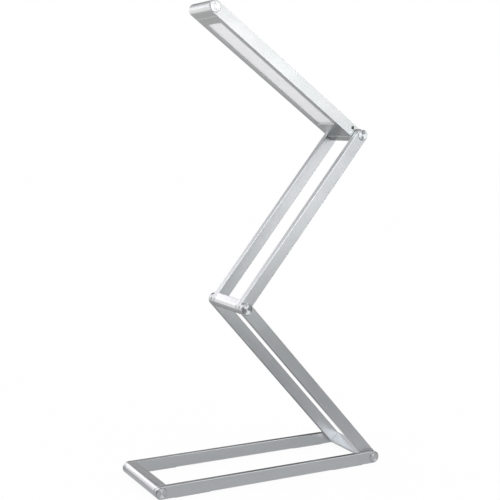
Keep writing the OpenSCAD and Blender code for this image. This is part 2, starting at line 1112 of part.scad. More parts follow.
module tact_switch() {
    color("black")
        head_place()
            translate([button_x, 0, 0])
                difference() {
                    block(
                        [-switch_side / 2, -switch_side / 2, driver_top],
                        [switch_side / 2, switch_side / 2, switch_z1]
                    );
                    translate([0, 0, switch_z1 - switch_well_l])
                        cylinder(r = switch_well_r, h = switch_well_l + over);
                }
}

// Two leads from the cells and two from the LED board, to the plug on the driver board
module inner_leads() {
    color("red")
        head_place()
            for (i = [0:lead_count - 1])
                lead(i < lead_count / 2 ? cells_x1 : plug_x - led_lead_l, plug_y + (i + 0.5) * lead_pitch);
}

module lead(x, y) {
    translate([x, y, lead_z])
        rotate([0, 90, 0])
            cylinder(r = lead_r, h = plug_x - x, $fn = 24);
}

module power_button() {
    top = head_r + button_proud;
    stem_end = switch_z1 - switch_well_l + button_travel + switch_play;
    color(bright)
        head_place()
            translate([button_x, 0, 0])
                rotate_extrude()
                    polygon([
                        [0, stem_end],
                        [button_stem_r, stem_end],
                        [button_stem_r, flange_bottom],
                        [button_r + button_flange, flange_bottom],
                        [button_r + button_flange, flange_top],
                        [button_r, flange_top],
                        [button_r, top - small_bevel],
                        [button_r - small_bevel, top],
                        [0, top]
                    ]);
}

base_front_bar();
base_rear_bar();
base_cross_bar();
base_nose_screws();
base_frame_dowels();
base_nose_caps();
base_foot_pads();
base_hinge_bushes();
base_hinge_spring_washers();
base_hinge_thrust_washers();
base_hinge_caps();
lower_front_bar();
lower_rear_bar();
lower_cross_bar();
lower_frame_dowels();
base_hinge_pins();
mid_hinge_bushes();
mid_hinge_spring_washers();
mid_hinge_thrust_washers();
mid_hinge_caps();
upper_front_bar();
upper_rear_bar();
upper_cross_bar();
upper_frame_dowels();
mid_hinge_pins();
top_hinge_bushes();
top_hinge_spring_washers();
top_hinge_thrust_washers();
top_hinge_caps();
head_housing();
head_top_cover();
head_nose_block();
head_hinge_block();
head_nose_caps();
head_block_screws();
top_hinge_pins();
diffuser();
reflector_frame();
led_board();
led_chips();
led_board_screws();
battery_cells();
driver_board();
driver_board_screws();
charging_jack();
tact_switch();
inner_leads();
power_button();
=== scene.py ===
# Looks of the folding LED desk lamp: brushed bars, turned caps and an opal light window in a white studio
import json
from math import atan2, cos, pi, radians, sin

import bpy
from mathutils import Matrix, Vector

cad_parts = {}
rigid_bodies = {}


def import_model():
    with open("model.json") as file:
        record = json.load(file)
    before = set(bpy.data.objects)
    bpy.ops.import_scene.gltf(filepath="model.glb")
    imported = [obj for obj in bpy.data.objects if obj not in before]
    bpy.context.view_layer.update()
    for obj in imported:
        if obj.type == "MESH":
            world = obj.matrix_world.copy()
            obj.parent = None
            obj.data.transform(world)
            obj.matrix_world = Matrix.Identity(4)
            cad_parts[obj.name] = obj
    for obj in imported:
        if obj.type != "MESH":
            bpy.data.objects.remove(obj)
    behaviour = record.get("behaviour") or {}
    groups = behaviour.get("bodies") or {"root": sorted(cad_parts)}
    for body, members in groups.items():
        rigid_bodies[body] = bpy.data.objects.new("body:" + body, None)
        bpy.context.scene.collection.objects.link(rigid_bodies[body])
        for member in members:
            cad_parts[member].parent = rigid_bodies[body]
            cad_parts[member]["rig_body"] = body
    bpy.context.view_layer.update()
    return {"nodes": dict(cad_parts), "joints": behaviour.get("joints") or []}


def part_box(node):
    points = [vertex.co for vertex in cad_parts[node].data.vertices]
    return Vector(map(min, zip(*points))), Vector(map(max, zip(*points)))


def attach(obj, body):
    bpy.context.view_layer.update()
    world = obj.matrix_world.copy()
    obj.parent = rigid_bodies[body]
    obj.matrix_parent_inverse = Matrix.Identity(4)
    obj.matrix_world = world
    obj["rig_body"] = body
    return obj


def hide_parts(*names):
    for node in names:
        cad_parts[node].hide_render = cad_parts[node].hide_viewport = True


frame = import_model()
nodes = frame["nodes"]
scene = bpy.context.scene
scene.view_settings.view_transform = "Standard"


# Slopes of the four links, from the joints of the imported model

joints = {joint["name"]: joint for joint in frame["joints"]}


def slopeBetween(start, end):
    link = Vector(joints[end]["pos_m"]) - Vector(joints[start]["pos_m"])
    return atan2(link.z, link.x)


pressAxis = Vector(joints["button_press"]["axis"])  # points into the head, square to its long faces
headSlope = atan2(pressAxis.x, -pressAxis.z)
linkSlopes = {
    "base": 0.0,
    "lower_arm": slopeBetween("mid_hinge", "base_hinge"),
    "upper_arm": slopeBetween("mid_hinge", "top_hinge"),
    "head": headSlope,
    "button": headSlope,
}


# Node trees

def setInputs(tree, node, values):  # a socket is linked, any other value is set
    for key, value in values.items():
        if isinstance(value, bpy.types.NodeSocket):
            tree.links.new(value, node.inputs[key])
        else:
            node.inputs[key].default_value = value


def addNode(tree, kind, inputs=None, **settings):
    made = tree.nodes.new(kind)
    for name, value in settings.items():
        setattr(made, name, value)
    setInputs(tree, made, inputs or {})
    return made


def resultOf(tree, kind, inputs=None, **settings):  # the new node's first output
    return addNode(tree, kind, inputs, **settings).outputs[0]


def mathOf(tree, operation, *terms):
    return resultOf(tree, "ShaderNodeMath", dict(enumerate(terms)), operation=operation)


def rampOf(tree, value, fromLow, fromHigh, toLow, toHigh):  # straight ramp, held at both ends
    return resultOf(tree, "ShaderNodeMapRange", {0: value, 1: fromLow, 2: fromHigh, 3: toLow, 4: toHigh})


def maskOf(tree, value, low, high):
    return rampOf(tree, value, low, high, 0.0, 1.0)


def swingOf(tree, value, low, high):  # from -1 to 1
    return rampOf(tree, value, low, high, -1.0, 1.0)


def noiseOf(tree, vector, scale, detail, roughness=0.5):
    inputs = {"Vector": vector, "Scale": scale, "Detail": detail, "Roughness": roughness}
    return resultOf(tree, "ShaderNodeTexNoise", inputs)


def vectorOf(tree, *terms):
    return resultOf(tree, "ShaderNodeCombineXYZ", dict(enumerate(terms)))


def partsOf(tree, vector):
    return addNode(tree, "ShaderNodeSeparateXYZ", {0: vector}).outputs


def newTree(name, kind, inputs, outputs):  # inputs give a socket's kind and its first value
    tree = bpy.data.node_groups.new(name, kind)
    for label, (socket, value) in inputs.items():
        made = tree.interface.new_socket(label, in_out="INPUT", socket_type="NodeSocket" + socket)
        if value is not None:
            made.default_value = value
    for label, socket in outputs.items():
        tree.interface.new_socket(label, in_out="OUTPUT", socket_type="NodeSocket" + socket)
    return tree, tree.nodes.new("NodeGroupInput").outputs


def endTree(tree, results):
    addNode(tree, "NodeGroupOutput", results)
    return tree


# Effects that several finishes share

grainLook = {
    "fineDetail": 3.0, "fineRoughness": 0.6,
    "broadScale": 0.17, "broadDetail": 1.0, "broadShare": 0.2,
    "streakRange": (0.35, 0.85),
}


def makeBrushedGrain():  # long fine lines along X of the coordinates given
    tree, given = newTree("brushedGrain", "ShaderNodeTree", {
        "Vector": ("Vector", None),
        "Line Length": ("Float", 0.02),
        "Line Width": ("Float", 0.0002),
    }, {"Height": "Float", "Streaks": "Float"})
    along = mathOf(tree, "DIVIDE", 1.0, given["Line Length"])
    across = mathOf(tree, "DIVIDE", 1.0, given["Line Width"])
    stretched = {0: given["Vector"], 1: vectorOf(tree, along, across, across)}
    lines = resultOf(tree, "ShaderNodeVectorMath", stretched, operation="MULTIPLY")
    fine = noiseOf(tree, lines, 1.0, grainLook["fineDetail"], grainLook["fineRoughness"])
    broad = noiseOf(tree, lines, grainLook["broadScale"], grainLook["broadDetail"])
    height = mathOf(tree, "MULTIPLY_ADD", broad, grainLook["broadShare"], fine)
    return endTree(tree, {"Height": height, "Streaks": swingOf(tree, height, *grainLook["streakRange"])})


wearLook = {
    "bevelSamples": 4, "turnRange": (1.0, 0.9),
    "patchDetail": 3.0, "patchRange": (0.4, 0.62), "leastWear": 0.25,
}


def makeEdgeWear():  # where an edge is rubbed: the rounded normal leaves the true one
    tree, given = newTree("edgeWear", "ShaderNodeTree", {
        "Vector": ("Vector", None),
        "Radius": ("Float", 0.0004),
        "Patch Scale": ("Float", 90.0),
    }, {"Mask": "Float"})
    rounded = resultOf(tree, "ShaderNodeBevel", {"Radius": given["Radius"]}, samples=wearLook["bevelSamples"])
    normals = {0: rounded, 1: addNode(tree, "ShaderNodeNewGeometry").outputs["True Normal"]}
    match = addNode(tree, "ShaderNodeVectorMath", normals, operation="DOT_PRODUCT").outputs["Value"]
    edge = maskOf(tree, match, *wearLook["turnRange"])
    spread = noiseOf(tree, given["Vector"], given["Patch Scale"], wearLook["patchDetail"])
    patch = rampOf(tree, spread, *wearLook["patchRange"], wearLook["leastWear"], 1.0)
    return endTree(tree, {"Mask": mathOf(tree, "MULTIPLY", edge, patch)})


paintedShadeLook = {"samples": 8, "openRange": (0.55, 0.95)}


def makePaintedCornerShade():  # painted shade: 1 on open faces, lower in corners and narrow gaps, where it darkens the colour
    tree, given = newTree("paintedCornerShade", "ShaderNodeTree", {"Reach": ("Float", 0.0009)}, {"Mask": "Float"})
    reach = {"Distance": given["Reach"]}
    opening = addNode(tree, "ShaderNodeAmbientOcclusion", reach, samples=paintedShadeLook["samples"]).outputs["AO"]
    return endTree(tree, {"Mask": maskOf(tree, opening, *paintedShadeLook["openRange"])})


markLook = {
    "cloudDetail": 3.0, "cloudRoughness": 0.55, "cloudRange": (0.3, 0.7),
    "spotScale": 14.0, "spotDetail": 1.0, "spotRange": (0.68, 0.75),
}


def makeHandlingMarks():  # faint cloudy prints and small dull spots
    tree, given = newTree("handlingMarks", "ShaderNodeTree", {
        "Vector": ("Vector", None),
        "Size": ("Float", 0.03),
    }, {"Cloud": "Float", "Spots": "Float"})
    scale = mathOf(tree, "DIVIDE", 1.0, given["Size"])
    prints = noiseOf(tree, given["Vector"], scale, markLook["cloudDetail"], markLook["cloudRoughness"])
    spotScale = mathOf(tree, "MULTIPLY", scale, markLook["spotScale"])
    dots = noiseOf(tree, given["Vector"], spotScale, markLook["spotDetail"])
    return endTree(tree, {
        "Cloud": swingOf(tree, prints, *markLook["cloudRange"]),
        "Spots": maskOf(tree, dots, *markLook["spotRange"]),
    })


skinLook = {"softScale": 0.3, "softDetail": 3.0, "softShare": 0.6, "mottleRange": (0.3, 0.7)}


def makeMouldedSkin():  # fine eroded texture of a moulding tool
    tree, given = newTree("mouldedSkin", "ShaderNodeTree", {
        "Vector": ("Vector", None),
        "Grain Size": ("Float", 0.0002),
    }, {"Height": "Float", "Mottle": "Float"})
    scale = mathOf(tree, "DIVIDE", 1.0, given["Grain Size"])
    grains = {"Vector": given["Vector"], "Scale": scale}
    cells = resultOf(tree, "ShaderNodeTexVoronoi", grains, feature="SMOOTH_F1")
    softScale = mathOf(tree, "MULTIPLY", scale, skinLook["softScale"])
    soft = noiseOf(tree, given["Vector"], softScale, skinLook["softDetail"])
    height = mathOf(tree, "MULTIPLY_ADD", soft, skinLook["softShare"], cells)
    return endTree(tree, {"Height": height, "Mottle": swingOf(tree, soft, *skinLook["mottleRange"])})


ringLook = {"drift": 3.0, "detail": 2.0, "streakRange": (0.3, 0.7)}


def makeTurnedLines():  # rings of a facing cut: V of the map runs from the centre to the rim
    tree, given = newTree("turnedLines", "ShaderNodeTree", {
        "Vector": ("Vector", None),
        "Ring Count": ("Float", 60.0),
    }, {"Height": "Float", "Streaks": "Float"})
    place = partsOf(tree, given["Vector"])
    drift = mathOf(tree, "MULTIPLY", place["X"], ringLook["drift"])
    ring = mathOf(tree, "MULTIPLY", place["Y"], given["Ring Count"])
    height = noiseOf(tree, vectorOf(tree, drift, ring), 1.0, ringLook["detail"])
    return endTree(tree, {"Height": height, "Streaks": swingOf(tree, height, *ringLook["streakRange"])})


effects = (
    makeBrushedGrain(), makeEdgeWear(), makePaintedCornerShade(),
    makeHandlingMarks(), makeMouldedSkin(), makeTurnedLines(),
)
groups = {tree.name: tree for tree in effects}
print("shader groups:", ", ".join(groups))


# Finishes

white = (1.0, 1.0, 1.0, 1.0)


def useGroup(tree, name, inputs=None):
    return addNode(tree, "ShaderNodeGroup", inputs, node_tree=groups[name]).outputs


def newMaterial(name):
    material = bpy.data.materials.new(name)
    material.use_nodes = True
    return material, material.node_tree, material.node_tree.nodes["Principled BSDF"]


def objectPlace(tree):
    return addNode(tree, "ShaderNodeTexCoord").outputs["Object"]


def turnedPlace(tree, place, angles):
    return resultOf(tree, "ShaderNodeMapping", {"Vector": place, "Rotation": angles})


def bumpOf(tree, height, depth):
    return resultOf(tree, "ShaderNodeBump", {"Height": height, "Distance": depth})


def mixColours(tree, factor, low, high):
    return addNode(tree, "ShaderNodeMix", {0: factor, 6: low, 7: high}, data_type="RGBA").outputs[2]


def shaded(colour, factor):
    return (*(channel * factor for channel in colour), 1.0)


def tinted(tree, swing, colour, amount):  # the colour, darker at -1 and lighter at 1
    tint = mathOf(tree, "MULTIPLY_ADD", swing, 0.5, 0.5)
    return mixColours(tree, tint, shaded(colour, 1 - amount), shaded(colour, 1 + amount))


def sumOf(tree, base, *shares):  # base, and each socket times its share
    total = base
    for socket, share in shares:
        total = mathOf(tree, "MULTIPLY_ADD", socket, share, total)
    return total


metalFinishes = {  # grainTurn turns the grain from the link's long axis to the hinge axis; the value before it sets how much painted shade darkens corners and gaps
    "satin_aluminium": {
        "colour": (0.66, 0.67, 0.68), "roughness": 0.34,
        "lineLength": 0.024, "lineWidth": 0.0002, "lineDepth": 3e-6,
        "streakTint": 0.035, "streakRoughness": 0.05, "wear": 0.3, "cornerShade": 0.2, "grainTurn": 0.0,
    },
    "bright_aluminium": {
        "colour": (0.72, 0.72, 0.74), "roughness": 0.24,
        "lineLength": 0.02, "lineWidth": 0.0002, "lineDepth": 1e-6,
        "streakTint": 0.015, "streakRoughness": 0.02, "wear": 0.14, "cornerShade": 0.2, "grainTurn": pi / 2,
    },
    "head_aluminium": {
        "colour": (0.745, 0.76, 0.76), "roughness": 0.34,
        "lineLength": 0.014, "lineWidth": 0.00016, "lineDepth": 1e-6,
        "streakTint": 0.015, "streakRoughness": 0.02, "wear": 0.1, "cornerShade": 0.5, "grainTurn": 0.0,
    },
    "button_aluminium": {
        "colour": (0.8, 0.81, 0.82), "roughness": 0.24,
        "lineLength": 0.003, "lineWidth": 0.0001, "lineDepth": 1e-6,
        "streakTint": 0.03, "streakRoughness": 0.04, "wear": 0.12, "cornerShade": 0.3, "grainTurn": 0.0,
    },
    "plain_steel": {
        "colour": (0.55, 0.56, 0.58), "roughness": 0.3,
        "lineLength": 0.004, "lineWidth": 0.0001, "lineDepth": 2e-6,
        "streakTint": 0.05, "streakRoughness": 0.06, "wear": 0.2, "cornerShade": 0.3, "grainTurn": pi / 2,
    },
    "sintered_bronze": {
        "colour": (0.62, 0.47, 0.28), "roughness": 0.46,
        "lineLength": 0.0004, "lineWidth": 0.0002, "lineDepth": 8e-6,
        "streakTint": 0.12, "streakRoughness": 0.1, "wear": 0.15, "cornerShade": 0.3, "grainTurn": pi / 2,
    },
    "cell_foil": {
        "colour": (0.7, 0.71, 0.73), "roughness": 0.36,
        "lineLength": 0.012, "lineWidth": 0.004, "lineDepth": 1.2e-4,
        "streakTint": 0.04, "streakRoughness": 0.05, "wear": 0.1, "cornerShade": 0.3, "grainTurn": 0.0,
    },
}
metalRoughness = {"cloud": 0.02, "spots": 0.04, "worn": -0.06}  # what each mark adds


def makeMetal(name, values, slope):
    material, tree, shader = newMaterial(name)
    place = objectPlace(tree)
    flat = turnedPlace(tree, place, (0.0, slope, 0.0))
    grain = useGroup(tree, "brushedGrain", {
        "Vector": turnedPlace(tree, flat, (0.0, 0.0, values["grainTurn"])),
        "Line Length": values["lineLength"], "Line Width": values["lineWidth"],
    })
    marks = useGroup(tree, "handlingMarks", {"Vector": place})
    worn = useGroup(tree, "edgeWear", {"Vector": place})["Mask"]
    unshadedMask = useGroup(tree, "paintedCornerShade")["Mask"]
    brushed = tinted(tree, grain["Streaks"], values["colour"], values["streakTint"])
    rubbed = mixColours(tree, mathOf(tree, "MULTIPLY", worn, values["wear"]), brushed, white)
    setInputs(tree, shader, {
        # painted shade: the colour darkens in corners and narrow gaps
        "Base Color": mixColours(tree, unshadedMask, shaded(values["colour"], 1 - values["cornerShade"]), rubbed),
        "Metallic": 1.0,
        "Roughness": sumOf(
            tree, values["roughness"],
            (grain["Streaks"], values["streakRoughness"]),
            (marks["Cloud"], metalRoughness["cloud"]),
            (marks["Spots"], metalRoughness["spots"]),
            (worn, metalRoughness["worn"]),
        ),
        "Normal": bumpOf(tree, grain["Height"], values["lineDepth"]),
    })
    return material


plasticFinishes = {
    "white_nylon": {
        "colour": (0.9, 0.9, 0.87), "roughness": 0.45,
        "grainSize": 0.0003, "grainDepth": 6e-6, "mottle": 0.02,
    },
    "grey_rubber": {
        "colour": (0.2, 0.2, 0.21), "roughness": 0.75,
        "grainSize": 0.0002, "grainDepth": 2e-5, "mottle": 0.1,
    },
    "white_plastic": {
        "colour": (0.93, 0.93, 0.93), "roughness": 0.4,
        "grainSize": 0.0003, "grainDepth": 6e-6, "mottle": 0.01,
    },
    "black_plastic": {
        "colour": (0.09, 0.09, 0.095), "roughness": 0.42,
        "grainSize": 0.0002, "grainDepth": 1e-5, "mottle": 0.15,
    },
    "lead_insulation": {
        "colour": (0.6, 0.05, 0.04), "roughness": 0.35,
        "grainSize": 0.0004, "grainDepth": 6e-6, "mottle": 0.05,
    },
    "grey_plastic": {
        "colour": (0.7, 0.7, 0.7), "roughness": 0.4,
        "grainSize": 0.0002, "grainDepth": 6e-6, "mottle": 0.05,
    },
    "led_package": {
        "colour": (0.92, 0.91, 0.88), "roughness": 0.4,
        "grainSize": 0.0002, "grainDepth": 4e-6, "mottle": 0.02,
    },
    "led_phosphor": {
        "colour": (0.95, 0.78, 0.22), "roughness": 0.3,
        "grainSize": 0.0001, "grainDepth": 6e-6, "mottle": 0.08,
    },
}
plasticMarks = {"size": 0.012, "roughness": 0.04}


def makePlastic(name, values):
    material, tree, shader = newMaterial(name)
    place = objectPlace(tree)
    skin = useGroup(tree, "mouldedSkin", {"Vector": place, "Grain Size": values["grainSize"]})
    marks = useGroup(tree, "handlingMarks", {"Vector": place, "Size": plasticMarks["size"]})
    setInputs(tree, shader, {
        "Base Color": tinted(tree, skin["Mottle"], values["colour"], values["mottle"]),
        "Roughness": sumOf(tree, values["roughness"], (marks["Cloud"], plasticMarks["roughness"])),
        "Normal": bumpOf(tree, skin["Height"], values["grainDepth"]),
    })
    return material


opalFinish = {
    "colour": (0.9, 0.9, 0.93), "tint": 0.01, "roughness": 0.42, "mottleRoughness": 0.04,
    "grainSize": 0.00025, "grainDepth": 4e-6, "markSize": 0.02, "scatter": 0.3, "scatterDepth": 0.002,
}


def makeOpal(name):  # satin opal sheet: light scatters a little under the skin
    material, tree, shader = newMaterial(name)
    place = objectPlace(tree)
    skin = useGroup(tree, "mouldedSkin", {"Vector": place, "Grain Size": opalFinish["grainSize"]})
    marks = useGroup(tree, "handlingMarks", {"Vector": place, "Size": opalFinish["markSize"]})
    setInputs(tree, shader, {
        "Base Color": tinted(tree, marks["Cloud"], opalFinish["colour"], opalFinish["tint"]),
        "Roughness": sumOf(tree, opalFinish["roughness"], (skin["Mottle"], opalFinish["mottleRoughness"])),
        "Normal": bumpOf(tree, skin["Height"], opalFinish["grainDepth"]),
        "Subsurface Weight": opalFinish["scatter"],
        "Subsurface Scale": opalFinish["scatterDepth"],
        "Subsurface Radius": (1.0, 1.0, 1.0),
    })
    return material


boardFinishes = {
    "white_board": {"mask": (0.9, 0.91, 0.9), "track": (0.82, 0.83, 0.82), "pitch": 0.0022},
    "green_board": {"mask": (0.08, 0.3, 0.14), "track": (0.13, 0.42, 0.2), "pitch": 0.0016},
}
boardLook = {
    "gap": 0.09, "gapSmooth": 0.3, "trackHeight": 3.5e-5,
    "roughness": 0.35, "mottleRoughness": 0.05, "grainSize": 0.0004,
}


def makeBoard(name, values, slope):  # solder mask over copper tracks
    material, tree, shader = newMaterial(name)
    place = objectPlace(tree)
    gaps = addNode(tree, "ShaderNodeTexBrick", {
        "Vector": turnedPlace(tree, place, (0.0, slope, 0.0)), "Scale": 1 / values["pitch"],
        "Mortar Size": boardLook["gap"], "Mortar Smooth": boardLook["gapSmooth"], "Bias": 0.0,
    }).outputs["Fac"]
    track = mathOf(tree, "SUBTRACT", 1.0, gaps)
    skin = useGroup(tree, "mouldedSkin", {"Vector": place, "Grain Size": boardLook["grainSize"]})
    setInputs(tree, shader, {
        "Base Color": mixColours(tree, track, shaded(values["mask"], 1), shaded(values["track"], 1)),
        "Roughness": sumOf(tree, boardLook["roughness"], (skin["Mottle"], boardLook["mottleRoughness"])),
        "Normal": bumpOf(tree, track, boardLook["trackHeight"]),
    })
    return material


turnedFinish = {
    "colour": (0.7, 0.71, 0.72), "tint": 0.05, "roughness": 0.2, "streakRoughness": 0.03,
    "anisotropy": 1.0, "anisotropyTurn": 0.25,
    "rings": 42.0, "ringDepth": 2e-6, "wear": 0.2, "wearRadius": 0.0003,
    "rimFrom": 0.69, "rimTo": 0.71,  # V over which painted shadow of the seam darkens the face towards the rim's bevel
    "paintedRimShadow": 0.35,
}


def makeTurned(name):  # facing cut: highlights open into wedges across the rings
    material, tree, shader = newMaterial(name)
    ringMap = resultOf(tree, "ShaderNodeUVMap", uv_map="ringMap")
    lines = useGroup(tree, "turnedLines", {"Vector": ringMap, "Ring Count": turnedFinish["rings"]})
    edges = {"Vector": objectPlace(tree), "Radius": turnedFinish["wearRadius"]}
    worn = mathOf(tree, "MULTIPLY", useGroup(tree, "edgeWear", edges)["Mask"], turnedFinish["wear"])
    streaks = lines["Streaks"]
    cut = tinted(tree, streaks, turnedFinish["colour"], turnedFinish["tint"])
    rubbed = mixColours(tree, worn, cut, white)
    # painted shadow: the colour darkens towards the rim, for the seam's shadow round the cap
    rim = maskOf(tree, partsOf(tree, ringMap)["Y"], turnedFinish["rimFrom"], turnedFinish["rimTo"])
    setInputs(tree, shader, {
        "Base Color": mixColours(tree, rim, rubbed, shaded(turnedFinish["colour"], turnedFinish["paintedRimShadow"])),
        "Metallic": 1.0,
        "Roughness": sumOf(tree, turnedFinish["roughness"], (streaks, turnedFinish["streakRoughness"])),
        "Normal": bumpOf(tree, lines["Height"], turnedFinish["ringDepth"]),
        "Anisotropic": turnedFinish["anisotropy"],
        "Anisotropic Rotation": turnedFinish["anisotropyTurn"],
        "Tangent": resultOf(tree, "ShaderNodeTangent", direction_type="UV_MAP", uv_map="ringMap"),
    })
    return material


def makeFinish(slotName, name, slope):
    if slotName in metalFinishes:
        return makeMetal(name, metalFinishes[slotName], slope)
    if slotName in boardFinishes:
        return makeBoard(name, boardFinishes[slotName], slope)
    if slotName == "opal_acrylic":
        return makeOpal(name)
    if slotName == "turned_aluminium":
        return makeTurned(name)
    return makePlastic(name, plasticFinishes[slotName])


finishes = {}


def finishFor(slotName, body):  # one material for each slot and, where the slope counts, each body
    sloped = slotName in metalFinishes or slotName in boardFinishes
    name = slotName + "_" + body if sloped else slotName
    if name not in finishes:
        finishes[name] = makeFinish(slotName, name, linkSlopes[body])
    return finishes[name]


otherFinishes = {"charging_jack": "grey_plastic"}  # the socket looks grey, not black
for name, piece in nodes.items():
    cadSlot = piece.material_slots[0]
    cadSlot.material = finishFor(otherFinishes.get(name, cadSlot.material.name), piece["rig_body"])
print("finishes:", len(finishes))


# Pieces grown by Geometry Nodes

def growPiece(name, tree, values, body, node):  # a plain mesh that stands for one CAD node
    piece = bpy.data.objects.new(name, bpy.data.meshes.new(name))
    scene.collection.objects.link(piece)
    growth = piece.modifiers.new("growth", "NODES")
    growth.node_group = tree
    for item in tree.interface.items_tree:
        if item.in_out == "INPUT":
            growth[item.identifier] = values[item.name]
    piece.update_tag()
    mesh = bpy.data.meshes.new_from_object(piece.evaluated_get(bpy.context.evaluated_depsgraph_get()))
    piece.modifiers.remove(growth)
    while mesh.materials[0] is None:  # the empty slot that the base shapes came with
        mesh.materials.pop(index=0)
    piece.data = mesh
    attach(piece, body)
    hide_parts(node)
    print("grown:", name, len(mesh.polygons), "faces")


def lowPart(node, *axes):  # box of the part of a node that lies on the low side of its middle
    low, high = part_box(node)
    middle = (low + high) / 2
    corners = [vertex.co for vertex in nodes[node].data.vertices]
    points = [corner for corner in corners if all(corner[axis] < middle[axis] for axis in axes)]
    return tuple(Vector([pick(point[axis] for point in points) for axis in range(3)]) for pick in (min, max))


def endShape(tree, instances, finish):  # the instances as one real mesh with one finish
    solid = resultOf(tree, "GeometryNodeRealizeInstances", {"Geometry": instances})
    dressed = resultOf(tree, "GeometryNodeSetMaterial", {"Geometry": solid, "Material": finish})
    return endTree(tree, {"Geometry": dressed})


# Turned caps, one at each side of the lamp

capShape = {
    "rim": 0.00025,  # bevel round the face
    "groove": 0.000038,  # depth of the rings
    "fineGroove": {"head_nose_caps": 0.00001},  # depth where they are finer
    "pitch": 0.00045,
    "plainRim": 0.0007,  # width left without rings
    "dimple": 0.0006,  # radius of the centre mark
    "dimpleDepth": 2.0,  # in depths of a ring
    "plate": 0.0013,
    "stem": {"head_nose_caps": 0.0015},  # radius of the stem, where a cap has one
    "segments": 72,
    "rows": 120,
    "weld": 1e-6,
}
capParts = {  # V at which each part of the outline begins and ends
    "face": (0.0, 0.7), "rim": (0.7, 0.74), "side": (0.74, 0.8),
    "back": (0.8, 0.86), "stem": (0.86, 0.92), "end": (0.92, 1.0),
}


def makeCapTree():  # a grid bent round: U is the angle, V runs from the face's middle to the stem's end
    tree, given = newTree("turnedCap", "GeometryNodeTree", {
        "Front": ("Vector", None), "Rear": ("Vector", None),
        "Radius": ("Float", 0.005), "Plate": ("Float", 0.001),
        "Stem Radius": ("Float", 0.001), "Stem Length": ("Float", 0.0), "Rim": ("Float", 0.0002),
        "Groove": ("Float", 0.00004), "Pitch": ("Float", 0.0005), "Plain Rim": ("Float", 0.0005),
        "Dimple": ("Float", 0.0005), "Segments": ("Int", 64), "Rows": ("Int", 80),
        "Finish": ("Material", None),
    }, {"Geometry": "Geometry"})
    columns = mathOf(tree, "ADD", given["Segments"], 1.0)
    grid = addNode(tree, "GeometryNodeMeshGrid", {
        "Size X": 1.0, "Size Y": 1.0, "Vertices X": columns, "Vertices Y": given["Rows"],
    }).outputs
    place = partsOf(tree, resultOf(tree, "GeometryNodeInputPosition"))
    angle = mathOf(tree, "MULTIPLY", place["X"], -2 * pi)
    run = mathOf(tree, "ADD", place["Y"], 0.5)

    def over(part, reach):  # from 0 to reach along one part of the outline
        return rampOf(tree, run, *capParts[part], 0.0, reach)

    face = mathOf(tree, "SUBTRACT", given["Radius"], given["Rim"])
    side = mathOf(tree, "SUBTRACT", given["Plate"], given["Rim"])
    toStem = mathOf(tree, "SUBTRACT", given["Radius"], given["Stem Radius"])
    bevel = over("rim", given["Rim"])
    radius = mathOf(tree, "ADD", over("face", face), bevel)
    radius = mathOf(tree, "SUBTRACT", radius, over("back", toStem))
    radius = mathOf(tree, "SUBTRACT", radius, over("end", given["Stem Radius"]))
    depth = mathOf(tree, "ADD", bevel, over("side", side))
    depth = mathOf(tree, "ADD", depth, over("stem", given["Stem Length"]))
    onFace = mathOf(tree, "LESS_THAN", run, capParts["face"][1])
    sweep = mathOf(tree, "FRACT", mathOf(tree, "DIVIDE", radius, given["Pitch"]))
    offCentre = mathOf(tree, "MULTIPLY_ADD", sweep, 2.0, -1.0)
    scallop = mathOf(tree, "POWER", offCentre, 2.0)  # trace of a round tool
    ring = mathOf(tree, "MULTIPLY", mathOf(tree, "SUBTRACT", 1.0, scallop), given["Groove"])
    ringEnd = mathOf(tree, "SUBTRACT", given["Radius"], given["Plain Rim"])
    ringed = mathOf(tree, "MULTIPLY", mathOf(tree, "LESS_THAN", radius, ringEnd), onFace)
    hollow = rampOf(tree, radius, 0.0, given["Dimple"], given["Groove"], 0.0)
    dimple = mathOf(tree, "MULTIPLY", hollow, onFace)
    depth = mathOf(tree, "MULTIPLY_ADD", ring, ringed, depth)
    depth = mathOf(tree, "MULTIPLY_ADD", dimple, capShape["dimpleDepth"], depth)
    across = mathOf(tree, "MULTIPLY", radius, mathOf(tree, "COSINE", angle))
    upward = mathOf(tree, "MULTIPLY", radius, mathOf(tree, "SINE", angle))
    bent = vectorOf(tree, across, upward, mathOf(tree, "MULTIPLY", depth, -1.0))
    mapped = resultOf(tree, "GeometryNodeStoreNamedAttribute", {
        "Geometry": grid["Mesh"], "Name": "ringMap", "Value": grid["UV Map"],
    }, data_type="FLOAT2", domain="CORNER")
    cap = resultOf(tree, "GeometryNodeSetPosition", {"Geometry": mapped, "Position": bent})
    closed = resultOf(tree, "GeometryNodeMergeByDistance", {"Geometry": cap, "Distance": capShape["weld"]})
    smooth = resultOf(tree, "GeometryNodeSetShadeSmooth", {"Geometry": closed})
    sides = resultOf(tree, "GeometryNodeMeshLine", {
        "Count": 2, "Start Location": given["Front"], "Offset": given["Rear"],
    }, mode="END_POINTS")
    index = resultOf(tree, "GeometryNodeInputIndex")
    facing = vectorOf(tree, mathOf(tree, "MULTIPLY_ADD", index, -pi, pi / 2))
    both = resultOf(tree, "GeometryNodeInstanceOnPoints", {
        "Points": sides, "Instance": smooth, "Rotation": facing,
    })
    return endShape(tree, both, given["Finish"])


def addCaps(tree, name, body, node):
    low, high = lowPart(node, 1)
    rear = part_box(node)[1].y
    middle = (low + high) / 2
    growPiece(name, tree, {
        "Front": (middle.x, low.y, middle.z), "Rear": (middle.x, rear, middle.z),
        "Radius": (high.x - low.x) / 2, "Plate": capShape["plate"],
        "Stem Radius": capShape["stem"].get(node, capShape["dimple"]),
        "Stem Length": max(high.y - low.y - capShape["plate"], 0.0), "Rim": capShape["rim"],
        "Groove": capShape["fineGroove"].get(node, capShape["groove"]), "Pitch": capShape["pitch"],
        "Plain Rim": capShape["plainRim"], "Dimple": capShape["dimple"],
        "Segments": capShape["segments"], "Rows": capShape["rows"],
        "Finish": finishFor("turned_aluminium", body),
    }, body, node)


